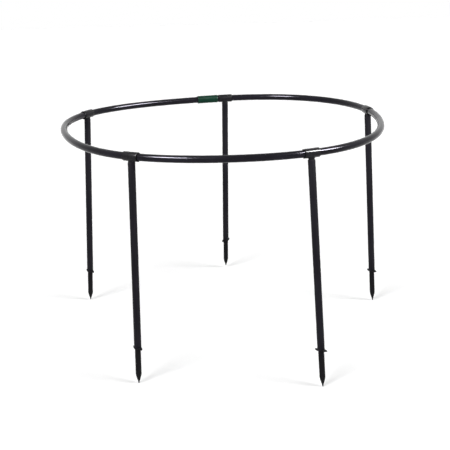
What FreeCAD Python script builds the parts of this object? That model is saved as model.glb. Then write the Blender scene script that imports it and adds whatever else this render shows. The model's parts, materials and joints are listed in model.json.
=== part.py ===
import FreeCAD, Part
import math
import os

os.makedirs("parts", exist_ok=True)

# A ring of bent tube stands level on five legs, and a plant grows up through it.
# Lengths are in millimetres and angles in degrees. +Z is up and +Y is the back.
# Angles round the ring are counted from +X, against the clock seen from above.

# Ring tube: one hollow tube bent into a loop, with its two ends meeting in the joining sleeve.
# The loop is nearly a circle. It wavers two to five times round, as a springy tube does.
ring_mean_radius = 299.2
ring_tube_radius = 6.25
ring_tube_wall = 1.5
ring_wave_shares = {2: 0.0088, 3: 0.0263, 4: 0.0219, 5: 0.0059}
ring_wave_degrees = {2: 47.5, 3: 48.7, 4: -35.9, 5: 14.3}
ring_span_degrees = 15.0
sewing_share = 0.001

# Joining sleeve: a short sleeve over the two tube ends, with a rib inside that both ends meet.
joiner_length = 43.0
joiner_wall = 1.5
joiner_clearance = 0.1
joiner_rib_width = 2.0
joiner_end_gap = 0.2
joiner_tee_gap = 2.0
joiner_edge_round = 0.5

# Tee: a sleeve that turns on the ring tube, with a hollow stem below that the leg slides on.
# The bore has room for the bend of the tube between the sleeve's two ends.
tee_sleeve_length = 28.0
tee_sleeve_wall = 1.3
tee_clearance = 0.12
tee_edge_round = 0.8
tee_seat_step = 1.25
tee_neck_radius = 5.75
tee_stem_length = 30.0
tee_stem_wall = 1.5
tee_stem_chamfer = 1.0
stem_clearance = 0.08

# Leg: a straight length of the same tube, with its top edge chamfered.
leg_length = 322.0
leg_tube_radius = 6.25
leg_tube_wall = 1.5
leg_top_chamfer = 0.9

# Foot: a plug in the leg's end, a collar with two blunt ears, and a spike with a thin point.
plug_length = 25.0
plug_chamfer = 1.0
plug_clearance = 0.08
collar_radius = 6.3
collar_height = 2.0
collar_edge_round = 0.3
ear_span = 26.0
ear_tip_width = 2.4
ear_height = 1.2
ear_side_share = 0.94
shaft_radius = 5.1
shaft_length = 46.0
cone_length = 12.0
cone_middle_share = 0.61
nipple_length = 5.5
nipple_base_radius = 1.9
nipple_tip_radius = 0.95

# Each leg: name, angle of its tee round the ring, how far the leg leans out, heading of its ears,
# and whether it is pulled down its stem to the ground. One that isn't stays home on its tee.
legs = [
    ("back", 89.7, 8.0, 56.0, False),
    ("left", 152.3, 3.2, -53.0, True),
    ("front_left", 239.4, 1.8, -56.0, True),
    ("front_right", 297.1, 5.4, -48.0, True),
    ("right", 20.3, 2.2, -55.0, True),
]

# What follows from the sizes above.
up = FreeCAD.Vector(0, 0, 1)
full_turn_degrees = 360.0
sewing_reach = ring_tube_wall * sewing_share
leg_bore_radius = leg_tube_radius - leg_tube_wall
spike_length = shaft_length + cone_length + nipple_length


def ring_terms(turn):
    """The loop's distance from its centre at this angle, and its first and second slopes."""
    terms = [1, 0, 0]
    for lobes, share in ring_wave_shares.items():
        phase = lobes * math.radians(turn - ring_wave_degrees[lobes])
        terms[0] += share * math.cos(phase)
        terms[1] -= share * lobes * math.sin(phase)
        terms[2] -= share * lobes * lobes * math.cos(phase)
    return [ring_mean_radius * term for term in terms]


def ring_point(turn):
    """The point of the tube's middle line at this angle, with the ring's centre at zero."""
    distance = ring_terms(turn)[0]
    angle = math.radians(turn)
    return FreeCAD.Vector(distance * math.cos(angle), distance * math.sin(angle), 0)


def ring_way(turn):
    """The way that the tube runs at this angle, against the clock."""
    distance, slope, _ = ring_terms(turn)
    angle = math.radians(turn)
    x = slope * math.cos(angle) - distance * math.sin(angle)
    y = slope * math.sin(angle) + distance * math.cos(angle)
    way = FreeCAD.Vector(x, y, 0)
    way.normalize()
    return way


def ring_run(turn):
    """Length of tube for each degree at this angle."""
    distance, slope, _ = ring_terms(turn)
    return math.radians(math.hypot(distance, slope))


def bend_radius(turn):
    """The radius that the tube is bent to at this angle."""
    distance, slope, curl = ring_terms(turn)
    speed = math.hypot(distance, slope)
    return speed ** 3 / (distance ** 2 + 2 * slope ** 2 - distance * curl)


def turn_after(turn, length):
    """The angle reached when this length of tube has passed."""
    guess = turn + length / ring_run(turn)
    return turn + length / ring_run((turn + guess) / 2)


def sleeve_rise(turn):
    """How far the tube bows from straight between the two ends of a tee's sleeve."""
    return (tee_sleeve_length / 2) ** 2 / (2 * bend_radius(turn))


sharpest_rise = max(sleeve_rise(leg[1]) for leg in legs)
tee_bore_radius = ring_tube_radius + tee_clearance + sharpest_rise / 2
tee_sleeve_radius = tee_bore_radius + tee_sleeve_wall
tee_seat = tee_sleeve_radius + tee_seat_step
tee_stem_radius = leg_bore_radius - stem_clearance

joiner_turn = turn_after(legs[0][1], tee_sleeve_length / 2 + joiner_tee_gap + joiner_length / 2)
joiner_start = turn_after(joiner_turn, -joiner_length / 2)
joiner_end = turn_after(joiner_turn, joiner_length / 2)
rib_start = turn_after(joiner_turn, -joiner_rib_width / 2)
rib_end = turn_after(joiner_turn, joiner_rib_width / 2)

# The leg that leans least is pushed home on its stem and reaches the ground.
# Those that are pulled down reach it too, a little way down their stems as their lean asks.
least_lean = min(leg[2] for leg in legs)
home_reach = tee_seat + leg_length + collar_height + spike_length
point_reach = home_reach - nipple_tip_radius
point_drop = point_reach * math.cos(math.radians(least_lean))


def stem_gap(lean, pulled_down):
    """How far this leg stands down its stem, which brings its point to the ground."""
    if not pulled_down:
        return 0
    return point_drop / math.cos(math.radians(lean)) - point_reach


def arcs_between(start, start_way, end, end_way):
    """Two arcs in one smooth line: each one's start, way, centre and turn in degrees."""
    chord = end.sub(start)
    both = start_way.add(end_way)
    along = chord.dot(both)
    spread = 2 * (1 - start_way.dot(end_way))
    reach = chord.dot(chord) / (along + math.sqrt(along ** 2 + spread * chord.dot(chord)))
    first = start.add(FreeCAD.Vector(start_way).multiply(reach))
    last = end.sub(FreeCAD.Vector(end_way).multiply(reach))
    meet = first.add(last).multiply(1 / 2)
    meet_way = last.sub(first)
    meet_way.normalize()
    arcs = []
    for point, way, target in ((start, start_way, meet), (meet, meet_way, end)):
        step = target.sub(point)
        side = up.cross(way)
        radius = step.dot(step) / (2 * step.dot(side))
        centre = point.add(side.multiply(radius))
        turn = 2 * math.degrees(math.atan2(way.cross(step).z, way.dot(step)))
        arcs.append((point, way, centre, turn))
    return arcs


def bent_pipe(turns, outer_radius, inner_radius):
    """A hollow tube along the loop through these angles, made of arcs."""
    arcs = []
    for start, end in zip(turns, turns[1:]):
        arcs += arcs_between(ring_point(start), ring_way(start), ring_point(end), ring_way(end))
    skin = [pipe_end(turns[0], outer_radius, inner_radius)]
    for point, way, centre, turn in arcs:
        bend = annulus(point, way, outer_radius, inner_radius).revolve(centre, up, turn)
        skin += [face for face in bend.Faces if isinstance(face.Surface, Part.Toroid)]
    skin.append(pipe_end(turns[-1], outer_radius, inner_radius))
    shell = Part.Compound(skin)
    shell.sewShape(sewing_reach)
    pipe = Part.Solid(shell.Shells[0])
    pipe.fix(sewing_reach, sewing_reach, sewing_reach)
    return pipe


def pipe_end(turn, outer_radius, inner_radius):
    """The flat round face across the tube at this angle."""
    return annulus(ring_point(turn), ring_way(turn), outer_radius, inner_radius)


def annulus(point, way, outer_radius, inner_radius):
    """A flat ring-shaped face at this point, square to this way."""
    disc = Part.Face(Part.Wire(Part.makeCircle(outer_radius, point, way)))
    hole = Part.Face(Part.Wire(Part.makeCircle(inner_radius, point, way)))
    return disc.cut(hole).Faces[0]


def one_solid(pieces):
    """The pieces joined into one clean solid."""
    return pieces[0].multiFuse(pieces[1:]).removeSplitter().Solids[0]


def even_turns(start, end):
    """Angles from start to end in even steps of about one span."""
    count = math.ceil((end - start) / ring_span_degrees)
    return [start + (end - start) * step / count for step in range(count + 1)]


def round_about(points):
    """A solid turned about the Z axis from an outline of straight edges in the XZ plane."""
    outline = Part.makePolygon([FreeCAD.Vector(x, 0, z) for x, z in points + points[:1]])
    return Part.Face(outline).revolve(FreeCAD.Vector(), up, full_turn_degrees)


def is_end_circle(edge, radius):
    """Whether this edge is a round one of this radius that lies across the piece."""
    curve = edge.Curve
    return isinstance(curve, Part.Circle) and abs(curve.Radius - radius) < radius / 1000


def ring_tube():
    """The loop of tube, open where its two ends meet in the joining sleeve."""
    first = turn_after(rib_end, joiner_end_gap)
    last = turn_after(rib_start, -joiner_end_gap) + full_turn_degrees
    turns = [first] + even_turns(joiner_end, joiner_start + full_turn_degrees) + [last]
    return bent_pipe(turns, ring_tube_radius, ring_tube_radius - ring_tube_wall)


def joining_sleeve():
    """The sleeve over the tube's two ends, bent as they are, with its rib in the middle."""
    bore_radius = ring_tube_radius + joiner_clearance
    outer_radius = bore_radius + joiner_wall
    rib_hole_radius = ring_tube_radius - ring_tube_wall
    sleeve = one_solid([
        bent_pipe([joiner_start, rib_start], outer_radius, bore_radius),
        bent_pipe([rib_start, joiner_turn, rib_end], outer_radius, rib_hole_radius),
        bent_pipe([rib_end, joiner_end], outer_radius, bore_radius),
    ])
    rim = [edge for edge in sleeve.Edges if is_end_circle(edge, outer_radius) and is_rim(edge)]
    return sleeve.makeFillet(joiner_edge_round, rim).Solids[0]


def is_rim(edge):
    """Whether this circle lies at one of the joining sleeve's two ends."""
    ends = (ring_point(joiner_start), ring_point(joiner_end))
    return min(edge.Curve.Center.distanceToPoint(end) for end in ends) < joiner_wall


def tee_fitting():
    """A tee with its sleeve along X and its stem along -Z, and the sleeve's middle at zero."""
    along = FreeCAD.Vector(1, 0, 0)
    start = FreeCAD.Vector(-tee_sleeve_length / 2, 0, 0)
    sleeve = Part.makeCylinder(tee_sleeve_radius, tee_sleeve_length, start, along)
    rim = [edge for edge in sleeve.Edges if is_end_circle(edge, tee_sleeve_radius)]
    sleeve = sleeve.makeFillet(tee_edge_round, rim)
    stem_end = -tee_seat - tee_stem_length
    core_radius = tee_stem_radius - tee_stem_wall
    stem = round_about([
        (0, 0),
        (tee_neck_radius, 0),
        (tee_neck_radius, -tee_seat),
        (tee_stem_radius, -tee_seat),
        (tee_stem_radius, stem_end + tee_stem_chamfer),
        (tee_stem_radius - tee_stem_chamfer, stem_end),
        (core_radius, stem_end),
        (core_radius, -tee_seat),
        (0, -tee_seat),
    ])
    bore = Part.makeCylinder(tee_bore_radius, tee_sleeve_length, start, along)
    return one_solid([sleeve, stem]).cut(bore).Solids[0]


def leg_tube(gap):
    """A leg hanging from its tee along -Z, this far below the tee's seat."""
    top = -tee_seat - gap
    end = top - leg_length
    return round_about([
        (leg_bore_radius, top),
        (leg_tube_radius - leg_top_chamfer, top),
        (leg_tube_radius, top - leg_top_chamfer),
        (leg_tube_radius, end),
        (leg_bore_radius, end),
    ])


def spike_foot(gap, ear_turn):
    """The foot of a leg: its plug, its collar with the two ears, and the spike."""
    seat = -tee_seat - gap - leg_length
    plug_radius = leg_bore_radius - plug_clearance
    plug_top = seat + plug_length
    collar_end = seat - collar_height
    cone_top = collar_end - shaft_length
    cone_end = cone_top - cone_length
    tip = cone_end - nipple_length
    plug = round_about([
        (0, plug_top),
        (plug_radius - plug_chamfer, plug_top),
        (plug_radius, plug_top - plug_chamfer),
        (plug_radius, seat),
        (0, seat),
    ])
    collar = Part.makeCylinder(collar_radius, collar_height, FreeCAD.Vector(0, 0, collar_end))
    rim = [edge for edge in collar.Edges if is_end_circle(edge, collar_radius)]
    collar = collar.makeFillet(collar_edge_round, rim)
    return one_solid([plug, collar, ears(collar_end, ear_turn), spike(collar_end, cone_top, cone_end, tip)])


def ears(collar_end, ear_turn):
    """A thin plate with two round sides and two blunt tips, through the middle of the collar."""
    low = collar_end + (collar_height - ear_height) / 2
    reach, half_tip, half_side = ear_span / 2, ear_tip_width / 2, collar_radius * ear_side_share
    corners = [FreeCAD.Vector(x, y, low) for x, y in (
        (reach, -half_tip), (reach, half_tip), (-reach, half_tip), (-reach, -half_tip))]
    outline = Part.Wire([
        Part.makeLine(corners[0], corners[1]),
        Part.Arc(corners[1], FreeCAD.Vector(0, half_side, low), corners[2]).toShape(),
        Part.makeLine(corners[2], corners[3]),
        Part.Arc(corners[3], FreeCAD.Vector(0, -half_side, low), corners[0]).toShape(),
    ])
    plate = Part.Face(outline).extrude(FreeCAD.Vector(0, 0, ear_height))
    plate.rotate(FreeCAD.Vector(), up, ear_turn)
    return plate


def spike(top, cone_top, cone_end, tip):
    """A straight shaft, a slightly swollen cone and a thin nipple with a round point."""
    middle_radius = nipple_base_radius + (shaft_radius - nipple_base_radius) * cone_middle_share
    middle = (cone_top + cone_end) / 2
    round_top = tip + nipple_tip_radius
    slant = nipple_tip_radius * math.sqrt(1 / 2)
    corners = [
        FreeCAD.Vector(0, 0, top),
        FreeCAD.Vector(shaft_radius, 0, top),
        FreeCAD.Vector(shaft_radius, 0, cone_top),
        FreeCAD.Vector(nipple_base_radius, 0, cone_end),
        FreeCAD.Vector(nipple_tip_radius, 0, round_top),
        FreeCAD.Vector(0, 0, tip),
    ]
    swell = FreeCAD.Vector(middle_radius, 0, middle)
    turn_point = FreeCAD.Vector(slant, 0, round_top - slant)
    edges = [
        Part.makeLine(corners[0], corners[1]),
        Part.makeLine(corners[1], corners[2]),
        Part.Arc(corners[2], swell, corners[3]).toShape(),
        Part.makeLine(corners[3], corners[4]),
        Part.Arc(corners[4], turn_point, corners[5]).toShape(),
        Part.makeLine(corners[5], corners[0]),
    ]
    return Part.Face(Part.Wire(edges)).revolve(FreeCAD.Vector(), up, full_turn_degrees)


def leg_place(turn, lean):
    """Where a leg's own space sits: X along the ring tube, Z up the leg, zero at the tee."""
    way = ring_way(turn)
    inward = up.cross(way)
    rise = FreeCAD.Vector(up).multiply(math.cos(math.radians(lean)))
    back = FreeCAD.Vector(inward).multiply(math.sin(math.radians(lean)))
    leg_up = rise.add(back)
    across = leg_up.cross(way)
    middle = ring_point(turn).add(inward.multiply(sleeve_rise(turn) / 2))
    return FreeCAD.Placement(FreeCAD.Matrix(
        way.x, across.x, leg_up.x, middle.x,
        way.y, across.y, leg_up.y, middle.y,
        way.z, across.z, leg_up.z, middle.z,
        0, 0, 0, 1))


def ear_turn_on_leg(turn, heading):
    """The ears' angle in the leg's own space, from the heading seen from above."""
    way = ring_way(turn)
    return heading - math.degrees(math.atan2(way.y, way.x))


def build():
    """Every piece by name, with the ring's centre at zero."""
    pieces = {"ring_tube": ring_tube(), "ring_joining_sleeve": joining_sleeve()}
    for name, turn, lean, heading, pulled_down in legs:
        gap = stem_gap(lean, pulled_down)
        place = leg_place(turn, lean)
        pieces[name + "_tee_fitting"] = tee_fitting()
        pieces[name + "_leg_tube"] = leg_tube(gap)
        pieces[name + "_spike_foot"] = spike_foot(gap, ear_turn_on_leg(turn, heading))
        for kind in ("_tee_fitting", "_leg_tube", "_spike_foot"):
            pieces[name + kind] = pieces[name + kind].transformed(place.toMatrix(), True)
    return pieces


def ground_shift(pieces):
    """The move that puts zero on the ground under the middle of the whole stand."""
    box = Part.makeCompound(list(pieces.values())).optimalBoundingBox(False, False)
    return FreeCAD.Vector(-box.Center.x, -box.Center.y, -box.ZMin)


pieces = build()
shift = ground_shift(pieces)
for name, shape in pieces.items():
    shape.translate(shift)
    shape.exportStep("parts/" + name + ".step")
print("ring centre", [round(value, 4) for value in shift])
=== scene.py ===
import json
import math

import bmesh
import bpy
from mathutils import Matrix, Vector


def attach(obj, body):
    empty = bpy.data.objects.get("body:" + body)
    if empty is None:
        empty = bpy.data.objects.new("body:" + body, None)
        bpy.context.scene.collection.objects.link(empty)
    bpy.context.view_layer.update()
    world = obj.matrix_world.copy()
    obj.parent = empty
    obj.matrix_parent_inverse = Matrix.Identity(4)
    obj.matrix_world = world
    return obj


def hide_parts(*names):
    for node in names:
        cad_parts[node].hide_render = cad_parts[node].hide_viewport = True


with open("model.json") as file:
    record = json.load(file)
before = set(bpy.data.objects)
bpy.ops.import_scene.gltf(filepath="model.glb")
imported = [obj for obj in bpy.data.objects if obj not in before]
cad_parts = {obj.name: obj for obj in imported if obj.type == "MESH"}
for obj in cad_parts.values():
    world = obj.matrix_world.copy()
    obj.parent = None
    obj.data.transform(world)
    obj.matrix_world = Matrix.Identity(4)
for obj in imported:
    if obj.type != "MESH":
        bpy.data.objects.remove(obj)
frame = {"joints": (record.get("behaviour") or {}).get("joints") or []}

bl_info = {
    "name": "Grow through plant support",
    "version": (1, 0, 0),
    "blender": (4, 5, 0),
    "location": "3D View > Sidebar > Plant support",
    "description": "Builds a ring of glossy tube on five spiked legs, for a plant to grow up through",
    "category": "Object",
}

UP = Vector((0, 0, 1))
LEGS = ("back", "left", "front_left", "front_right", "right")

# How many times each waver goes round the loop.
WAVER_COUNTS = (2, 3, 4, 5)

# The attribute that keeps each point's place on its own piece, for the finishes.
OWN_PLACE = "own_place"

# In metres: how near two places count as the same, and how near two points are merged.
SAME_PLACE = 1e-6
MERGE_DISTANCE = 1e-7

# In radians: an edge up to the first angle is shaded smooth, and an ear's edge past the second is rounded.
SMOOTH_ANGLE = math.radians(38)
EAR_EDGE_ANGLE = 1.0

# In millimetres, as cameras are.
SENSOR_WIDTH = 36


# Sizes and colours


def length(name, description, default):
    """A length in metres that a user may change."""
    return bpy.props.FloatProperty(
        name=name, description=description, default=default, min=0, precision=5, unit="LENGTH")


def angle(name, description, degrees):
    """An angle that a user may change."""
    return bpy.props.FloatProperty(
        name=name, description=description, default=math.radians(degrees), subtype="ANGLE")


def share(name, description, default):
    """A number from 0 to 1 that a user may change."""
    return bpy.props.FloatProperty(
        name=name, description=description, default=default, min=0, max=1, subtype="FACTOR")


def colour(name, description, default):
    """A colour that a user may change."""
    return bpy.props.FloatVectorProperty(
        name=name, description=description, default=default, size=3, min=0, max=1, subtype="COLOR")


def position(name, description, default):
    """A place in metres that a user may change."""
    return bpy.props.FloatVectorProperty(
        name=name, description=description, default=default, size=3, precision=5, subtype="TRANSLATION")


class RingSizes(bpy.types.PropertyGroup):
    """The loop of tube and the sleeve over its two ends."""
    centre: position("Centre", "Middle of the loop", (0.0035570, -0.0196825, 0.3964671))
    mean_radius: length("Mean radius", "Middle of the loop to the middle of the tube", 0.2992)
    waver_shares: bpy.props.FloatVectorProperty(
        name="Wavers", default=(0.0088, 0.0263, 0.0219, 0.0059), size=4, min=0, max=0.1, precision=4,
        description="How far the loop wavers two, three, four and five times round, as shares of its radius")
    waver_turns: bpy.props.FloatVectorProperty(
        name="Waver turns", description="Where a crest of each waver stands",
        default=[math.radians(turn) for turn in (47.5, 48.7, -35.9, 14.3)], size=4, unit="ROTATION")
    tube_radius: length("Tube radius", "Outside of the tube", 0.00625)
    tube_wall: length("Tube wall", "Thickness of the tube's wall", 0.0015)
    end_gap: length("End gap", "Each tube end to the rib in the sleeve", 0.0002)
    sleeve_length: length("Sleeve length", "Length of the green sleeve", 0.043)
    sleeve_wall: length("Sleeve wall", "Thickness of the green sleeve's wall", 0.0015)
    sleeve_clearance: length("Sleeve clearance", "Room round the tube in the green sleeve", 0.0001)
    sleeve_gap: length("Sleeve gap", "Green sleeve to the back tee's sleeve", 0.002)
    rib_width: length("Rib width", "Rib in the green sleeve that both tube ends meet", 0.002)
    rim_round: length("Rim round", "Rounding of the green sleeve's rims", 0.0005)


class TeeSizes(bpy.types.PropertyGroup):
    """A tee: the sleeve on the loop, and the stem that the leg slides on."""
    sleeve_length: length("Sleeve length", "Length of the tee's sleeve", 0.028)
    sleeve_radius: length("Sleeve radius", "Outside of the tee's sleeve", 0.0079123)
    bore_radius: length("Bore radius", "Inside of the tee's sleeve", 0.0066123)
    rim_round: length("Rim round", "Rounding of the sleeve's outer rims", 0.0004)
    mouth_widening: length("Mouth widening", "How much wider the bore is at the sleeve's mouths", 0.0007)
    mouth_depth: length("Mouth depth", "How deep each mouth's lead-in runs", 0.003)
    # The next two set how far the painted shade of the mouths reaches and how softly it ends.
    mouth_shade_band: length("Mouth band", "How far the black of each mouth reaches along the outside", 0.0012)
    mouth_shade_fade: length("Mouth fade", "How softly that black ends", 0.0004)
    seat: length("Seat", "Sleeve's middle line to the shoulder that the leg meets", 0.0091623)
    neck_radius: length("Neck radius", "Neck between the sleeve and the shoulder", 0.00575)
    neck_fillet: length("Neck fillet", "Hollow rounding where the neck meets the sleeve", 0.0006)
    stem_length: length("Stem length", "Part of the stem inside the leg", 0.03)
    stem_radius: length("Stem radius", "Outside of the stem", 0.00467)
    stem_wall: length("Stem wall", "Thickness of the stem's wall", 0.0015)
    stem_chamfer: length("Stem chamfer", "Chamfer at the stem's end", 0.001)


class LegSizes(bpy.types.PropertyGroup):
    """A leg of straight tube."""
    tube_length: length("Length", "Length of the leg tube", 0.322)
    tube_radius: length("Tube radius", "Outside of the leg tube", 0.00625)
    tube_wall: length("Tube wall", "Thickness of the leg tube's wall", 0.0015)
    top_round: length("Top round", "Rounding of the tube's top edge", 0.0009)
    cut_round: length("Cut round", "Rounding of the tube's other cut edges", 0.0002)
    speck_start: length("Speck start", "How far below the shoulder the specks are at their thickest", 0.004)
    speck_end: length("Speck end", "How far below the shoulder the specks end", 0.045)


class FootSizes(bpy.types.PropertyGroup):
    """A foot: plug, collar with two ears, spike and thin point."""
    plug_length: length("Plug length", "Part of the foot inside the leg", 0.025)
    plug_radius: length("Plug radius", "Outside of the plug", 0.00467)
    plug_chamfer: length("Plug chamfer", "Chamfer at the plug's end", 0.001)
    collar_radius: length("Collar radius", "Outside of the collar", 0.0063)
    collar_height: length("Collar height", "Height of the collar", 0.002)
    collar_round: length("Collar round", "Rounding of the collar's rims and of the cone's two ends", 0.0003)
    ear_span: length("Ear span", "From ear tip to ear tip", 0.026)
    ear_width: length("Ear plate width", "Width of the ears' plate at its middle", 0.011844)
    ear_tip: length("Ear tip width", "Width of the ears' blunt tips", 0.0024)
    ear_height: length("Ear thickness", "Thickness of the ears' plate", 0.0012)
    ear_round: length("Ear round", "Rounding of the ears' edges", 0.0002)
    shaft_radius: length("Shaft radius", "Outside of the spike's shaft", 0.0051)
    shaft_length: length("Shaft length", "Length of the spike's shaft", 0.046)
    cone_length: length("Cone length", "Length of the swollen cone", 0.012)
    cone_share: share("Cone swell", "Radius at the cone's middle, from the point's to the shaft's", 0.61)
    point_length: length("Point length", "Length of the thin point", 0.0055)
    point_base: length("Point base", "Radius of the thin point's base", 0.0019)
    point_tip: length("Point tip", "Radius of the thin point's round tip", 0.00095)
    worn_start: length("Worn start", "How far above the tip the worn grey is at its palest", 0.001)
    worn_rise: length("Worn rise", "How far the worn grey reaches above the thin point", 0.006)
    worn_waver: length("Worn waver", "How unevenly the worn grey ends", 0.004)
    scratch_rise: length("Scratch rise", "How far the scratches reach above the cone", 0.03)


class FinishSettings(bpy.types.PropertyGroup):
    """The colours of the plastics, their least roughness and the strength of their shine."""
    ring_black: colour("Ring black", "Glossy black of the loop", (0.0046, 0.0041, 0.0060))
    ring_haze: colour("Ring haze", "Paler lilac haze of the loop", (0.011, 0.010, 0.0148))
    ring_dust: colour("Ring dust", "Pale dust on the loop", (0.08, 0.08, 0.09))
    ring_gleam: colour("Ring gleam", "Lilac tint of the loop's shine", (0.88, 0.85, 1.0))
    ring_roughness: share("Ring roughness", "Least roughness of the loop", 0.11)
    ring_shine: share("Ring shine", "Strength of the loop's shine", 0.14)
    sleeve_green: colour("Sleeve green", "Dark green of the sleeve", (0.0034, 0.033, 0.018))
    sleeve_pale: colour("Sleeve pale green", "Paler green where the sleeve is rubbed", (0.0065, 0.045, 0.026))
    sleeve_roughness: share("Sleeve roughness", "Least roughness of the green sleeve", 0.26)
    sleeve_shine: share("Sleeve shine", "Strength of the green sleeve's shine", 0.07)
    tee_charcoal: colour("Tee charcoal", "Charcoal of the tees", (0.0068, 0.0062, 0.0088))
    tee_grey: colour("Tee grey", "Paler charcoal where the tees are rubbed", (0.0135, 0.0127, 0.0165))
    # Painted shade: this black is painted into the tees' bores and mouths for the shade that falls inside them.
    mouth_shade_black: colour("Mouth black", "Black of the tees' mouths, where dirt gathers", (0.0015, 0.0015, 0.0016))
    tee_roughness: share("Tee roughness", "Least roughness of the tees", 0.17)
    tee_shine: share("Tee shine", "Strength of the tees' shine", 0.17)
    leg_charcoal: colour("Leg charcoal", "Charcoal of the legs", (0.0085, 0.0075, 0.0115))
    leg_grey: colour("Leg grey", "Paler charcoal of the legs", (0.015, 0.0135, 0.019))
    leg_speck: colour("Leg specks", "Pale specks near the legs' tops", (0.075, 0.072, 0.080))
    leg_roughness: share("Leg roughness", "Least roughness of the legs", 0.42)
    leg_shine: share("Leg shine", "Strength of the legs' shine", 0.06)
    foot_black: colour("Foot black", "Black of the feet", (0.0060, 0.0055, 0.0070))
    foot_worn: colour("Foot worn grey", "Grey of the worn points", (0.060, 0.058, 0.062))
    foot_roughness: share("Foot roughness", "Least roughness of the feet", 0.40)
    foot_shine: share("Foot shine", "Strength of the feet's shine", 0.06)


class StageSettings(bpy.types.PropertyGroup):
    """The camera, the lamps and the floor."""
    eye: position("Camera place", "Where the camera stands", (0.0035570, -1.9698265, 0.7679931))
    target: position("Camera target", "What the camera looks at", (-0.0014465, -0.0194253, 0.2003461))
    roll: angle("Camera roll", "How far the camera leans to its left", 1.601)
    lens: bpy.props.FloatProperty(
        name="Lens", description="Focal length on a 36 mm wide sensor", default=84.873, min=1, unit="CAMERA")
    floor_width: length("Floor width", "Width of the pale floor", 12.0)
    floor_colour: colour("Floor", "Colour of the pale floor", (0.90, 0.90, 0.90))
    floor_glow: share("Floor glow", "How much the floor is brightened where it is seen", 0.24)
    lamp_strength: bpy.props.FloatProperty(
        name="Lamp strength", description="Even light of each soft lamp", default=1.5, min=0)
    lamp_spread: angle("Lamp spread", "How wide each soft lamp's light comes from", 24.0)
    lamp_distance: length("Lamp distance", "From the stand to each lamp and its panel", 3.0)
    panel_glow: bpy.props.FloatProperty(
        name="Panel glow", description="Power of each square metre of a panel, which only gloss shows",
        default=620.0, min=0, unit="POWER")
    panel_width: length("Panel width", "Width of each panel", 0.55)
    room_light: share("Room light", "Soft light from all sides", 0.32)


class PlantSupportSettings(bpy.types.PropertyGroup):
    """Everything that a user may change."""
    ring: bpy.props.PointerProperty(type=RingSizes)
    tee: bpy.props.PointerProperty(type=TeeSizes)
    leg: bpy.props.PointerProperty(type=LegSizes)
    foot: bpy.props.PointerProperty(type=FootSizes)
    finish: bpy.props.PointerProperty(type=FinishSettings)
    stage: bpy.props.PointerProperty(type=StageSettings)


# Finishes


class Value:
    """A socket of a finish. Sums and products of it add their Math nodes."""

    def __init__(self, finish, socket):
        self.finish = finish
        self.socket = socket

    def calculated(self, operation, *others):
        """A Math node's result for this value and the others."""
        return self.finish.add("ShaderNodeMath", {"operation": operation}, dict(enumerate((self, *others))))

    def at_least(self, other):
        return self.calculated("MAXIMUM", other)

    def at_most(self, other):
        return self.calculated("MINIMUM", other)

    def __add__(self, other):
        return self.calculated("ADD", other)

    def __mul__(self, other):
        return self.calculated("MULTIPLY", other)

    def __abs__(self):
        return self.calculated("ABSOLUTE")

    __radd__ = __add__
    __rmul__ = __mul__


class Finish:
    """A procedural material or world, built node by node."""

    def __init__(self, owner):
        owner.use_nodes = True
        self.owner = owner
        self.nodes = owner.node_tree.nodes
        self.links = owner.node_tree.links
        self.nodes.clear()

    def add(self, kind, settings=None, sockets=None, output=0):
        """Adds a node of this kind, with its settings first and then its sockets' values or links."""
        node = self.nodes.new(kind)
        for key, setting in (settings or {}).items():
            setattr(node, key, setting)
        for key, value in (sockets or {}).items():
            if isinstance(value, Value):
                self.links.new(value.socket, node.inputs[key])
            else:
                node.inputs[key].default_value = value
        return Value(self, node.outputs[output])

    def own_place(self):
        """Each point's place on its own piece, before the piece was bent or set on the stand."""
        return self.add("ShaderNodeAttribute", {"attribute_name": OWN_PLACE}, output="Vector")

    def parts(self, vector):
        """The three numbers of a vector."""
        split = self.add("ShaderNodeSeparateXYZ", sockets={0: vector}).socket.node
        return [Value(self, socket) for socket in split.outputs]

    def stretched(self, vector, scales):
        """The vector times a scale along each of its axes."""
        return self.add("ShaderNodeVectorMath", {"operation": "MULTIPLY"}, {0: vector, 1: scales})

    def noise(self, vector, per_metre, detail=2.0, roughness=0.5):
        """Noise from 0 to 1 with this many grains in a metre along each axis."""
        return self.add("ShaderNodeTexNoise", sockets={
            "Vector": self.stretched(vector, per_metre), "Scale": 1.0, "Detail": detail, "Roughness": roughness})

    def step(self, value, low, high):
        """A smooth rise from 0 to 1 between these two values, or a fall where low is the larger."""
        at_low_end, at_high_end = (0.0, 1.0) if low < high else (1.0, 0.0)
        return self.add("ShaderNodeMapRange", {"interpolation_type": "SMOOTHSTEP"}, {
            "Value": value, "From Min": min(low, high), "From Max": max(low, high),
            "To Min": at_low_end, "To Max": at_high_end})

    def blend(self, factor, first, second):
        """A colour from first to second."""
        return self.add("ShaderNodeMix", {"data_type": "RGBA"}, {0: factor, 6: first, 7: second}, output=2)

    def specks(self, vector, per_metre, size):
        """Round spots about this many to the metre, and this share of their distance across."""
        distance = self.add("ShaderNodeTexVoronoi", sockets={"Vector": vector, "Scale": per_metre})
        return self.step(distance, size, size / 2)

    def bump(self, height, distance, under=None):
        """A surface normal from a height of 0 to 1, where 1 is this many metres."""
        sockets = {"Strength": 1.0, "Distance": distance, "Height": height}
        if under is not None:
            sockets["Normal"] = under
        return self.add("ShaderNodeBump", sockets=sockets)

    def plastic(self, base, roughness, normal, shine, tint=(1, 1, 1)):
        """Ends the finish as a plastic."""
        shader = self.add("ShaderNodeBsdfPrincipled", sockets={
            "Base Color": base, "Roughness": roughness, "Normal": normal, "IOR": 1.5,
            "Specular IOR Level": shine, "Specular Tint": paint(tint)})
        self.end(shader, "ShaderNodeOutputMaterial")
        return self.owner

    def end(self, shader, kind):
        """Adds the output node and links the shader to it."""
        self.links.new(shader.socket, self.nodes.new(kind).inputs["Surface"])


def paint(value):
    """A colour property as the four numbers of a colour socket."""
    return (*value, 1.0)


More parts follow.
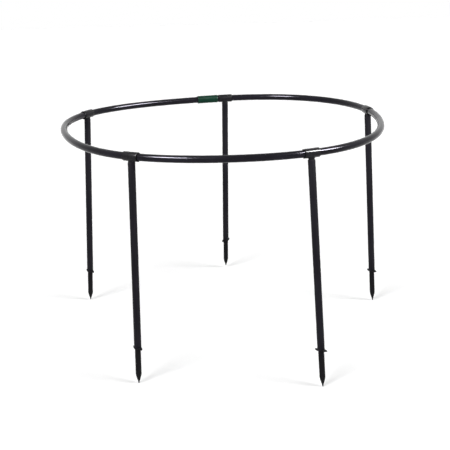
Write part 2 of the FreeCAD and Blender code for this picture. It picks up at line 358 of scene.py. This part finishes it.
def parting_line(finish, across):
    """The fine raised line that the two halves of a mould leave along the middle of a piece."""
    line_edge, line_crest = 0.00022, 0.00006
    return finish.step(abs(across), line_edge, line_crest)


def glossy_tube(settings):
    """The loop: drawn black tube, glossy, with fine lines along it and a slight unevenness."""
    finish = Finish(bpy.data.materials.new("ring_black"))
    own = finish.own_place()
    lines = finish.noise(own, per_metre=(1400, 1400, 9), detail=3.0, roughness=0.6)
    uneven = finish.noise(own, per_metre=(90, 90, 34))
    haze = finish.noise(own, per_metre=(26, 26, 12), detail=3.0, roughness=0.55)
    dust = 0.5 * finish.specks(finish.stretched(own, (1, 1, 0.55)), per_metre=330.0, size=0.09)
    base = finish.blend(finish.step(haze, 0.35, 0.7), paint(settings.ring_black), paint(settings.ring_haze))
    base = finish.blend(dust, base, paint(settings.ring_dust))
    roughness = settings.ring_roughness + 0.08 * finish.step(haze, 0.38, 0.68) + 0.05 * lines
    normal = finish.bump(uneven, distance=0.00016)
    normal = finish.bump(lines, distance=0.000010, under=normal)
    return finish.plastic(base, roughness, normal, settings.ring_shine, settings.ring_gleam)


def green_plastic(settings):
    """The joining sleeve: satin dark green, moulded."""
    finish = Finish(bpy.data.materials.new("joiner_green"))
    own = finish.own_place()
    cloud = finish.noise(own, per_metre=(120, 120, 60), detail=3.0, roughness=0.6)
    grain = finish.noise(own, per_metre=(2600, 2600, 2600))
    rubbed = finish.noise(own, per_metre=(900, 900, 40), roughness=0.6)
    base = finish.blend(finish.step(cloud, 0.35, 0.7), paint(settings.sleeve_green), paint(settings.sleeve_pale))
    roughness = settings.sleeve_roughness + 0.12 * cloud + 0.08 * finish.step(rubbed, 0.55, 0.75)
    across = finish.parts(own)[0]
    normal = finish.bump(parting_line(finish, across), distance=0.00006)
    normal = finish.bump(grain, distance=0.000012, under=normal)
    return finish.plastic(base, roughness, normal, settings.sleeve_shine)


def painted_mouth_shade(finish, own, tee):
    """Painted shade: 1 inside a tee's bore and round its two mouths, where shade falls, and 0 elsewhere."""
    along, across, up = finish.parts(own)
    outside = tee.sleeve_radius ** 2
    unshaded_share, shaded_share = 0.97, 0.93
    neck_fade = 0.001
    in_sleeve = finish.step(across * across + up * up, outside * unshaded_share, outside * shaded_share)
    past_neck = finish.step(abs(along), tee.neck_radius, tee.neck_radius + neck_fade)
    band = tee.sleeve_length / 2 - tee.mouth_shade_band
    return (in_sleeve * past_neck).at_least(finish.step(abs(along), band, band + tee.mouth_shade_fade))


def tee_plastic(settings, tee):
    """The tees: satin charcoal, moulded in two halves, with painted shade that makes them black round and inside
    their mouths.
    """
    finish = Finish(bpy.data.materials.new("fitting_charcoal"))
    own = finish.own_place()
    cloud = finish.noise(own, per_metre=(150, 150, 150), detail=3.0, roughness=0.6)
    grain = finish.noise(own, per_metre=(2200, 2200, 2200))
    rubbed = finish.noise(own, per_metre=(60, 700, 700), roughness=0.6)
    base = finish.blend(finish.step(cloud, 0.4, 0.75), paint(settings.tee_charcoal), paint(settings.tee_grey))
    # Painted shade: the bores and mouths are blackened where shade falls inside them.
    base = finish.blend(painted_mouth_shade(finish, own, tee), base, paint(settings.mouth_shade_black))
    roughness = settings.tee_roughness + 0.10 * cloud + 0.06 * finish.step(rubbed, 0.5, 0.75)
    across = finish.parts(own)[1]
    normal = finish.bump(parting_line(finish, across), distance=0.00008)
    normal = finish.bump(grain, distance=0.000012, under=normal)
    return finish.plastic(base, roughness, normal, settings.tee_shine)


def leg_plastic(settings, leg, tee):
    """The legs: drawn charcoal tube, satin, with pale specks near the top."""
    finish = Finish(bpy.data.materials.new("leg_charcoal"))
    own = finish.own_place()
    height = finish.parts(own)[2]
    lines = finish.noise(own, per_metre=(1100, 1100, 6), detail=3.0, roughness=0.6)
    cloud = finish.noise(own, per_metre=(70, 70, 14), detail=3.0, roughness=0.55)
    rubbed = finish.noise(own, per_metre=(800, 800, 70), detail=3.0, roughness=0.6)
    near_top = finish.step(height, -tee.seat - leg.speck_end, -tee.seat - leg.speck_start)
    specks = 0.7 * (finish.specks(own, per_metre=420.0, size=0.16) * near_top)
    scuffs = 0.06 * finish.step(rubbed, 0.62, 0.72)
    base = finish.blend(finish.step(cloud, 0.3, 0.7), paint(settings.leg_charcoal), paint(settings.leg_grey))
    base = finish.blend(specks + scuffs, base, paint(settings.leg_speck))
    roughness = settings.leg_roughness + 0.12 * cloud + 0.06 * lines
    normal = finish.bump(lines, distance=0.000014)
    return finish.plastic(base, roughness, normal, settings.leg_shine)


def foot_plastic(settings, foot, tip):
    """The feet: satin black, moulded in two halves, with points worn grey by the ground."""
    finish = Finish(bpy.data.materials.new("foot_black"))
    own = finish.own_place()
    _, across, height = finish.parts(own)
    cloud = finish.noise(own, per_metre=(160, 160, 90), detail=3.0, roughness=0.6)
    grain = finish.noise(own, per_metre=(2400, 2400, 2400))
    scratches = finish.noise(own, per_metre=(1500, 1500, 60), detail=3.0, roughness=0.7)
    worn_end = tip + foot.point_length + foot.worn_rise
    worn = finish.step(height + foot.worn_waver * cloud, worn_end, tip + foot.worn_start)
    near_point = finish.step(height, tip + foot.point_length + foot.cone_length + foot.scratch_rise, tip)
    scuffed = near_point * finish.step(scratches, 0.52, 0.66)
    base = finish.blend(0.75 * worn + 0.22 * scuffed, paint(settings.foot_black), paint(settings.foot_worn))
    roughness = settings.foot_roughness + 0.12 * cloud + 0.14 * worn
    normal = finish.bump(parting_line(finish, across), distance=0.00006)
    normal = finish.bump(grain, distance=0.000014, under=normal)
    normal = finish.bump(scratches, distance=0.000010, under=normal)
    return finish.plastic(base, roughness, normal, settings.foot_shine)


# Shaping


def turned(profile, segments=64):
    """A closed outline of (radius, height) points, turned once round Z."""
    shape = bmesh.new()
    verts = [shape.verts.new((radius, 0, height)) for radius, height in profile]
    edges = [shape.edges.new(pair) for pair in zip(verts, verts[1:])]
    if profile[0][0] > 0 or profile[-1][0] > 0:
        edges.append(shape.edges.new((verts[-1], verts[0])))
    bmesh.ops.spin(shape, geom=verts + edges, cent=(0, 0, 0), axis=UP, dvec=(0, 0, 0),
                   angle=math.tau, steps=segments, use_merge=True, use_duplicate=False)
    bmesh.ops.remove_doubles(shape, verts=shape.verts, dist=MERGE_DISTANCE)
    bmesh.ops.recalc_face_normals(shape, faces=shape.faces)
    return shape


def rounded(shape, edges, amount, segments):
    """Rounds these edges by this much."""
    bmesh.ops.bevel(shape, geom=edges, offset=amount, offset_type="OFFSET", affect="EDGES",
                    segments=segments, profile=0.5, material=-1, clamp_overlap=True)


def on_ring(vert, radius, height):
    """Whether a point stands at this radius and height."""
    return (abs(math.hypot(vert.co.x, vert.co.y) - radius) < SAME_PLACE
            and abs(vert.co.z - height) < SAME_PLACE)


def round_rings(shape, rings, segments=3):
    """Rounds the round edges that stand at each (radius, height), by this much."""
    for radius, height, amount in rings:
        edges = [edge for edge in shape.edges if all(on_ring(vert, radius, height) for vert in edge.verts)]
        rounded(shape, edges, amount, segments)


def take_in(shape, other):
    """Adds the other shape to this one, and lets the other go."""
    mesh = bpy.data.meshes.new("taken_in")
    other.to_mesh(mesh)
    other.free()
    shape.from_mesh(mesh)
    bpy.data.meshes.remove(mesh)


def keep_own_place(shape):
    """Writes down where each point is now, for the finish to follow."""
    layer = shape.verts.layers.float_vector.new(OWN_PLACE)
    for vert in shape.verts:
        vert[layer] = vert.co


def finished(shape, name, body, node, finish):
    """Makes the shape a piece of the stand, in place of the plain solid of that node."""
    mesh = bpy.data.meshes.new(name)
    shape.to_mesh(mesh)
    shape.free()
    mesh.polygons.foreach_set("use_smooth", [True] * len(mesh.polygons))
    mesh.set_sharp_from_angle(angle=SMOOTH_ANGLE)
    mesh.materials.append(finish)
    piece = bpy.data.objects.new(name, mesh)
    bpy.context.scene.collection.objects.link(piece)
    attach(piece, body)
    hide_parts(node)


# The loop's line


def ring_distance(ring, turn):
    """The loop's distance from its centre at this angle, and how fast that changes."""
    distance, slope = 1.0, 0.0
    for count, part, crest in zip(WAVER_COUNTS, ring.waver_shares, ring.waver_turns):
        distance += part * math.cos(count * (turn - crest))
        slope -= part * count * math.sin(count * (turn - crest))
    return ring.mean_radius * distance, ring.mean_radius * slope


def ring_place(ring, turn):
    """The middle of the tube at this angle, and the way outwards across it."""
    distance, slope = ring_distance(ring, turn)
    out = Vector((math.cos(turn), math.sin(turn), 0))
    way = Vector((slope * out.x - distance * out.y, slope * out.y + distance * out.x, 0)).normalized()
    return Vector(ring.centre) + out * distance, Vector((way.y, -way.x, 0))


def ring_turn(ring, start, along):
    """The angle reached from start after this length of tube."""
    guess = start + along / math.hypot(*ring_distance(ring, start))
    return start + along / math.hypot(*ring_distance(ring, (start + guess) / 2))


def bent(shape, ring, turn_at):
    """Lays a straight shape along the loop: X goes outwards, Y up, and Z along the tube."""
    for vert in shape.verts:
        middle, outward = ring_place(ring, turn_at(vert.co.z))
        vert.co = middle + outward * vert.co.x + UP * vert.co.y


def sleeve_turn(ring, tee):
    """The angle of the green sleeve's middle, just past the back tee."""
    swivel = joint("back_tee_swivel")["pos_m"]
    start = math.atan2(swivel[1] - ring.centre[1], swivel[0] - ring.centre[0])
    return ring_turn(ring, start, tee.sleeve_length / 2 + ring.sleeve_gap + ring.sleeve_length / 2)


# Where the legs stand


def joint(name):
    """The joint of this name."""
    return next(entry for entry in frame["joints"] if entry["name"] == name)


def leg_place(name):
    """Where a leg's own space sits: X along the tube, Z up the leg, zero in the tee's middle."""
    way = -Vector(joint(name + "_tee_swivel")["axis"])
    leg_up = -Vector(joint(name + "_leg_slide")["axis"])
    across = leg_up.cross(way)
    place = Matrix((way, across, leg_up)).transposed().to_4x4()
    return Matrix.Translation(joint(name + "_tee_swivel")["pos_m"]) @ place


def stem_gap(name):
    """How far this leg stands down its stem."""
    return -joint(name + "_leg_slide")["range_m"][0]


def set_on_leg(shape, name):
    """Moves a shape from a leg's own space to its place on the stand."""
    bmesh.ops.transform(shape, matrix=leg_place(name), verts=shape.verts)


# Pieces


class PLANT_OT_ring_tube(bpy.types.Operator):
    """Build the loop of glossy black tube"""
    bl_idname = "plant_support.ring_tube"
    bl_label = "Ring tube"
    bl_options = {"REGISTER", "UNDO"}

    steps: bpy.props.IntProperty(name="Steps", description="Steps along the loop", default=400, min=60)
    segments: bpy.props.IntProperty(name="Segments", description="Sides round the tube", default=48, min=12)

    def execute(self, context):
        settings = context.scene.plant_support
        ring = settings.ring
        middle = sleeve_turn(ring, settings.tee)
        first = ring_turn(ring, middle, ring.rib_width / 2 + ring.end_gap)
        last = ring_turn(ring, middle, -ring.rib_width / 2 - ring.end_gap) + math.tau
        shape = bmesh.new()
        for radius in (ring.tube_radius, ring.tube_radius - ring.tube_wall):
            bmesh.ops.create_circle(shape, cap_ends=False, radius=radius, segments=self.segments)
        step = (last - first) * ring.mean_radius / self.steps
        bmesh.ops.spin(shape, geom=shape.verts[:] + shape.edges[:], cent=(0, 0, 0), axis=UP,
                       dvec=(0, 0, step), angle=0, steps=self.steps, use_merge=False, use_duplicate=False)
        for height in (0, step * self.steps):
            rim = [edge for edge in shape.edges if all(abs(vert.co.z - height) < step / 4 for vert in edge.verts)]
            bmesh.ops.bridge_loops(shape, edges=rim)
        bmesh.ops.recalc_face_normals(shape, faces=shape.faces)
        keep_own_place(shape)
        bent(shape, ring, lambda along: first + along / ring.mean_radius)
        finished(shape, "loop_of_tube", "ring", "ring_tube", glossy_tube(settings.finish))
        return {"FINISHED"}


class PLANT_OT_joining_sleeve(bpy.types.Operator):
    """Build the green sleeve over the tube's two ends"""
    bl_idname = "plant_support.joining_sleeve"
    bl_label = "Joining sleeve"
    bl_options = {"REGISTER", "UNDO"}

    slices: bpy.props.IntProperty(name="Slices", description="Slices that the sleeve bends in", default=17, min=4)

    def execute(self, context):
        settings = context.scene.plant_support
        ring = settings.ring
        bore = ring.tube_radius + ring.sleeve_clearance
        outer = bore + ring.sleeve_wall
        hole = ring.tube_radius - ring.tube_wall
        end, rib = ring.sleeve_length / 2, ring.rib_width / 2
        shape = turned([(outer, -end), (outer, end), (bore, end), (bore, rib),
                        (hole, rib), (hole, -rib), (bore, -rib), (bore, -end)])
        round_rings(shape, [(outer, -end, ring.rim_round), (outer, end, ring.rim_round)])
        for cut in range(2, self.slices):
            height = (cut / self.slices - 0.5) * ring.sleeve_length
            bmesh.ops.bisect_plane(shape, geom=shape.verts[:] + shape.edges[:] + shape.faces[:],
                                   dist=MERGE_DISTANCE, plane_co=(0, 0, height), plane_no=UP)
        keep_own_place(shape)
        middle = sleeve_turn(ring, settings.tee)
        bent(shape, ring, lambda along: ring_turn(ring, middle, along))
        finished(shape, "sleeve_over_tube_ends", "ring", "ring_joining_sleeve",
                 green_plastic(settings.finish))
        return {"FINISHED"}


class PLANT_OT_tee_fittings(bpy.types.Operator):
    """Build the five tees that swivel on the loop"""
    bl_idname = "plant_support.tee_fittings"
    bl_label = "Tee fittings"
    bl_options = {"REGISTER", "UNDO"}

    def sleeve(self, tee):
        """The sleeve, with its length along X."""
        outer, bore, end = tee.sleeve_radius, tee.bore_radius, tee.sleeve_length / 2
        mouth, inner = bore + tee.mouth_widening, end - tee.mouth_depth
        shape = turned([(outer, -end), (outer, end), (mouth, end), (mouth, inner + tee.mouth_widening), (bore, inner),
                        (bore, -inner), (mouth, -inner - tee.mouth_widening), (mouth, -end)])
        outer_round, mouth_round = tee.rim_round, tee.rim_round / 4
        round_rings(shape, [(outer, -end, outer_round), (outer, end, outer_round)], segments=4)
        round_rings(shape, [(mouth, -end, mouth_round), (mouth, end, mouth_round)], segments=2)
        quarter_turn = Matrix.Rotation(math.pi / 2, 3, "Y")
        bmesh.ops.rotate(shape, verts=shape.verts, cent=(0, 0, 0), matrix=quarter_turn)
        return shape

    def stem(self, tee):
        """The neck and the hollow stem, with the neck's top fitted round the sleeve's underside."""
        outer, seat, neck, fillet = tee.sleeve_radius, tee.seat, tee.neck_radius, tee.neck_fillet
        end = -seat - tee.stem_length
        core = tee.stem_radius - tee.stem_wall
        sunk = -outer + (outer - tee.bore_radius) / 2
        profile = [(0, sunk), (neck / 3, sunk), (neck * 2 / 3, sunk), (neck + fillet, sunk)]
        fillet_steps = 4
        for step in range(fillet_steps + 1):
            turn = step / fillet_steps * math.pi / 2
            profile.append((neck + fillet * (1 - math.sin(turn)), -outer - fillet * (1 - math.cos(turn))))
        profile += [(neck, -seat), (tee.stem_radius, -seat), (tee.stem_radius, end + tee.stem_chamfer),
                    (tee.stem_radius - tee.stem_chamfer, end), (core, end), (core, -seat), (0, -seat)]
        shape = turned(profile)
        for vert in shape.verts:
            if vert.co.z > -seat + SAME_PLACE:
                rise = outer - math.sqrt(outer ** 2 - vert.co.y ** 2)
                vert.co.z += rise * min(1, (vert.co.z + seat) / (seat - outer - fillet))
        return shape

    def execute(self, context):
        settings = context.scene.plant_support
        finish = tee_plastic(settings.finish, settings.tee)
        for name in LEGS:
            shape = self.sleeve(settings.tee)
            take_in(shape, self.stem(settings.tee))
            keep_own_place(shape)
            set_on_leg(shape, name)
            finished(shape, "tee_" + name, name + "_tee", name + "_tee_fitting", finish)
        return {"FINISHED"}


class PLANT_OT_leg_tubes(bpy.types.Operator):
    """Build the five straight legs"""
    bl_idname = "plant_support.leg_tubes"
    bl_label = "Leg tubes"
    bl_options = {"REGISTER", "UNDO"}

    def execute(self, context):
        settings = context.scene.plant_support
        leg, tee = settings.leg, settings.tee
        finish = leg_plastic(settings.finish, leg, tee)
        outer, bore, cut = leg.tube_radius, leg.tube_radius - leg.tube_wall, leg.cut_round
        for name in LEGS:
            top = -tee.seat - stem_gap(name)
            end = top - leg.tube_length
            shape = turned([(outer, end), (outer, top), (bore, top), (bore, end)])
            round_rings(shape, [(outer, top, leg.top_round)], segments=5)
            round_rings(shape, [(outer, end, cut), (bore, top, cut), (bore, end, cut)], segments=2)
            keep_own_place(shape)
            set_on_leg(shape, name)
            finished(shape, "leg_" + name, name + "_leg", name + "_leg_tube", finish)
        return {"FINISHED"}


class PLANT_OT_spike_feet(bpy.types.Operator):
    """Build the five feet with their ears and spikes"""
    bl_idname = "plant_support.spike_feet"
    bl_label = "Spike feet"
    bl_options = {"REGISTER", "UNDO"}

    # Which way the ears of each foot point, in degrees from +X.
    ear_degrees = {"back": 56.0, "left": -53.0, "front_left": -56.0, "front_right": -48.0, "right": -55.0}

    def spike(self, foot, seat):
        """The plug, the collar and the spike, turned in one."""
        plug, collar, shaft, base = foot.plug_radius, foot.collar_radius, foot.shaft_radius, foot.point_base
        plug_top = seat + foot.plug_length
        collar_end = seat - foot.collar_height
        cone_top = collar_end - foot.shaft_length
        cone_end = cone_top - foot.cone_length
        tip = cone_end - foot.point_length
        profile = [(0, plug_top), (plug - foot.plug_chamfer, plug_top), (plug, plug_top - foot.plug_chamfer),
                   (plug, seat), (collar, seat), (collar, collar_end), (shaft, collar_end), (shaft, cone_top)]
        middle = base + (shaft - base) * foot.cone_share
        swell = 2 * middle - (shaft + base) / 2
        cone_steps, tip_steps = 8, 5
        for step in range(1, cone_steps + 1):
            part = step / cone_steps
            radius = shaft * (1 - part) ** 2 + 2 * swell * part * (1 - part) + base * part ** 2
            profile.append((radius, cone_top - foot.cone_length * part))
        for step in range(tip_steps):
            turn = step / tip_steps * math.pi / 2
            profile.append((foot.point_tip * math.cos(turn), tip + foot.point_tip * (1 - math.sin(turn))))
        profile.append((0, tip))
        shape = turned(profile)
        round_rings(shape, [(collar, seat, foot.collar_round), (collar, collar_end, foot.collar_round)])
        round_rings(shape, [(shaft, cone_top, foot.collar_round), (base, cone_end, foot.collar_round)], segments=2)
        return shape

    def ears(self, foot, seat):
        """The thin plate with two round sides and two blunt tips."""
        half, side, rise = foot.ear_span / 2, foot.ear_width / 2, (foot.ear_width - foot.ear_tip) / 2
        sweep = (half ** 2 + rise ** 2) / (2 * rise)
        middle = seat - foot.collar_height / 2
        shape = bmesh.new()
        bmesh.ops.create_grid(shape, x_segments=32, y_segments=2, size=1)
        for vert in shape.verts:
            x = vert.co.x * half
            reach = math.sqrt(sweep ** 2 - x ** 2) - (sweep - side)
            vert.co = Vector((x, vert.co.y * reach, middle))
        bmesh.ops.solidify(shape, geom=shape.faces[:], thickness=foot.ear_height)
        low = min(vert.co.z for vert in shape.verts)
        bmesh.ops.translate(shape, verts=shape.verts, vec=(0, 0, middle - foot.ear_height / 2 - low))
        bmesh.ops.recalc_face_normals(shape, faces=shape.faces)
        rims = [edge for edge in shape.edges if edge.is_manifold and edge.calc_face_angle() > EAR_EDGE_ANGLE]
        rounded(shape, rims, foot.ear_round / 2, segments=2)
        return shape

    def execute(self, context):
        settings = context.scene.plant_support
        foot, leg, tee = settings.foot, settings.leg, settings.tee
        home = -tee.seat - leg.tube_length
        tip = home - foot.collar_height - foot.shaft_length - foot.cone_length - foot.point_length
        finish = foot_plastic(settings.finish, foot, tip)
        for name in LEGS:
            seat = home - stem_gap(name)
            shape = self.spike(foot, seat)
            ears = self.ears(foot, seat)
            way = leg_place(name).col[0]
            turn = Matrix.Rotation(math.radians(self.ear_degrees[name]) - math.atan2(way.y, way.x), 3, "Z")
            bmesh.ops.rotate(ears, verts=ears.verts, cent=(0, 0, 0), matrix=turn)
            take_in(shape, ears)
            keep_own_place(shape)
            set_on_leg(shape, name)
            finished(shape, "foot_" + name, name + "_foot", name + "_spike_foot", finish)
        return {"FINISHED"}


# Stage


class PLANT_OT_stage(bpy.types.Operator):
    """Set up the pale floor, the soft lamps and the camera"""
    bl_idname = "plant_support.stage"
    bl_label = "Stage"
    bl_options = {"REGISTER", "UNDO"}

    # For each lamp: the way to it from the stand, the way that its panel runs, and the panel's length in metres.
    lamps = {
        "right": ((0.73, -0.29, 0.61), (0.33, 0.35, -0.26), 1.5),
        "left": ((-0.45, -0.57, 0.68), (-0.35, 0.35, 0.01), 1.05),
    }

    def floor(self, scene, stage):
        """A wide pale floor that still shows the stand's shadow."""
        shape = bmesh.new()
        bmesh.ops.create_grid(shape, x_segments=1, y_segments=1, size=stage.floor_width / 2)
        mesh = bpy.data.meshes.new("floor")
        shape.to_mesh(mesh)
        shape.free()
        finish = Finish(bpy.data.materials.new("pale_floor"))
        matt = finish.add("ShaderNodeBsdfDiffuse", sockets={"Color": paint(stage.floor_colour)})
        glow = finish.add("ShaderNodeEmission", sockets={"Strength": stage.floor_glow * self.seen(finish)})
        finish.end(finish.add("ShaderNodeAddShader", sockets={0: matt, 1: glow}), "ShaderNodeOutputMaterial")
        mesh.materials.append(finish.owner)
        floor = bpy.data.objects.new("floor", mesh)
        scene.collection.objects.link(floor)

    def seen(self, finish):
        """1 for what the camera sees, straight or in gloss and glass, and 0 for light."""
        path = finish.add("ShaderNodeLightPath").socket.node.outputs
        straight, in_gloss, in_glass = [
            Value(finish, path[name]) for name in ("Is Camera Ray", "Is Glossy Ray", "Is Transmission Ray")]
        return (straight + in_gloss + in_glass).at_most(1.0)

    def room(self, scene, stage):
        """A white room whose light is soft and plain."""
        scene.world = bpy.data.worlds.new("white_room")
        finish = Finish(scene.world)
        strength = stage.room_light + (1 - stage.room_light) * self.seen(finish)
        light = finish.add("ShaderNodeBackground", sockets={"Color": (1, 1, 1, 1), "Strength": strength})
        finish.end(light, "ShaderNodeOutputWorld")

    def lamp(self, scene, stage, name, direction, run, reach):
        """A soft lamp in this direction from the stand: its even light, and the panel that gloss shows."""
        away = Vector(direction).normalized()
        along = (Vector(run) - away * away.dot(run)).normalized()
        turn = Matrix((along, away.cross(along), away)).transposed().to_4x4()
        middle = Vector((0, 0, scene.plant_support.ring.centre[2]))
        light = bpy.data.lights.new("light_" + name, "SUN")
        light.energy = stage.lamp_strength
        light.angle = stage.lamp_spread
        panel = bpy.data.lights.new("panel_" + name, "AREA")
        panel.shape = "RECTANGLE"
        panel.size, panel.size_y = reach, stage.panel_width
        panel.energy = stage.panel_glow * reach * stage.panel_width
        for data in (light, panel):
            lamp = bpy.data.objects.new(data.name, data)
            lamp.matrix_world = Matrix.Translation(middle + away * stage.lamp_distance) @ turn
            lamp.visible_diffuse = data is light
            lamp.visible_glossy = data is panel
            scene.collection.objects.link(lamp)

    def camera(self, scene, stage):
        """The camera that sees the stand from a little above."""
        eye, target = Vector(stage.eye), Vector(stage.target)
        sight = (target - eye).normalized()
        level = sight.cross(UP).normalized()
        rise = level.cross(sight)
        right = level * math.cos(stage.roll) - rise * math.sin(stage.roll)
        camera_up = level * math.sin(stage.roll) + rise * math.cos(stage.roll)
        lens = bpy.data.cameras.new("camera")
        lens.sensor_fit = "HORIZONTAL"
        lens.sensor_width = SENSOR_WIDTH
        lens.lens = stage.lens
        camera = bpy.data.objects.new("camera", lens)
        camera.matrix_world = Matrix.Translation(eye) @ Matrix((right, camera_up, -sight)).transposed().to_4x4()
        scene.collection.objects.link(camera)
        scene.camera = camera

    def execute(self, context):
        scene = context.scene
        stage = scene.plant_support.stage
        self.floor(scene, stage)
        self.room(scene, stage)
        for name, place in self.lamps.items():
            self.lamp(scene, stage, name, *place)
        self.camera(scene, stage)
        scene.view_settings.view_transform = "Standard"
        return {"FINISHED"}


# Sidebar panel


OPERATORS = (PLANT_OT_ring_tube, PLANT_OT_joining_sleeve, PLANT_OT_tee_fittings,
             PLANT_OT_leg_tubes, PLANT_OT_spike_feet, PLANT_OT_stage)


class VIEW3D_PT_plant_support(bpy.types.Panel):
    """Buttons and sizes for the plant support"""
    bl_label = "Plant support"
    bl_idname = "VIEW3D_PT_plant_support"
    bl_space_type = "VIEW_3D"
    bl_region_type = "UI"
    bl_category = "Plant support"

    def draw(self, context):
        for operator in OPERATORS:
            self.layout.operator(operator.bl_idname)
        settings = context.scene.plant_support
        for group in (settings.ring, settings.tee, settings.leg, settings.foot, settings.finish, settings.stage):
            box = self.layout.box()
            for name in group.bl_rna.properties.keys():
                if name not in ("name", "rna_type"):
                    box.prop(group, name)


GROUPS = (RingSizes, TeeSizes, LegSizes, FootSizes, FinishSettings, StageSettings, PlantSupportSettings)
CLASSES = GROUPS + OPERATORS + (VIEW3D_PT_plant_support,)


def register():
    for entry in CLASSES:
        bpy.utils.register_class(entry)
    bpy.types.Scene.plant_support = bpy.props.PointerProperty(type=PlantSupportSettings)


def unregister():
    del bpy.types.Scene.plant_support
    for entry in reversed(CLASSES):
        bpy.utils.unregister_class(entry)


def main():
    """Builds every piece and the stage."""
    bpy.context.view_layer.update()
    register()
    bpy.ops.plant_support.ring_tube()
    bpy.ops.plant_support.joining_sleeve()
    bpy.ops.plant_support.tee_fittings()
    bpy.ops.plant_support.leg_tubes()
    bpy.ops.plant_support.spike_feet()
    bpy.ops.plant_support.stage()


if __name__ == "__main__":
    main()
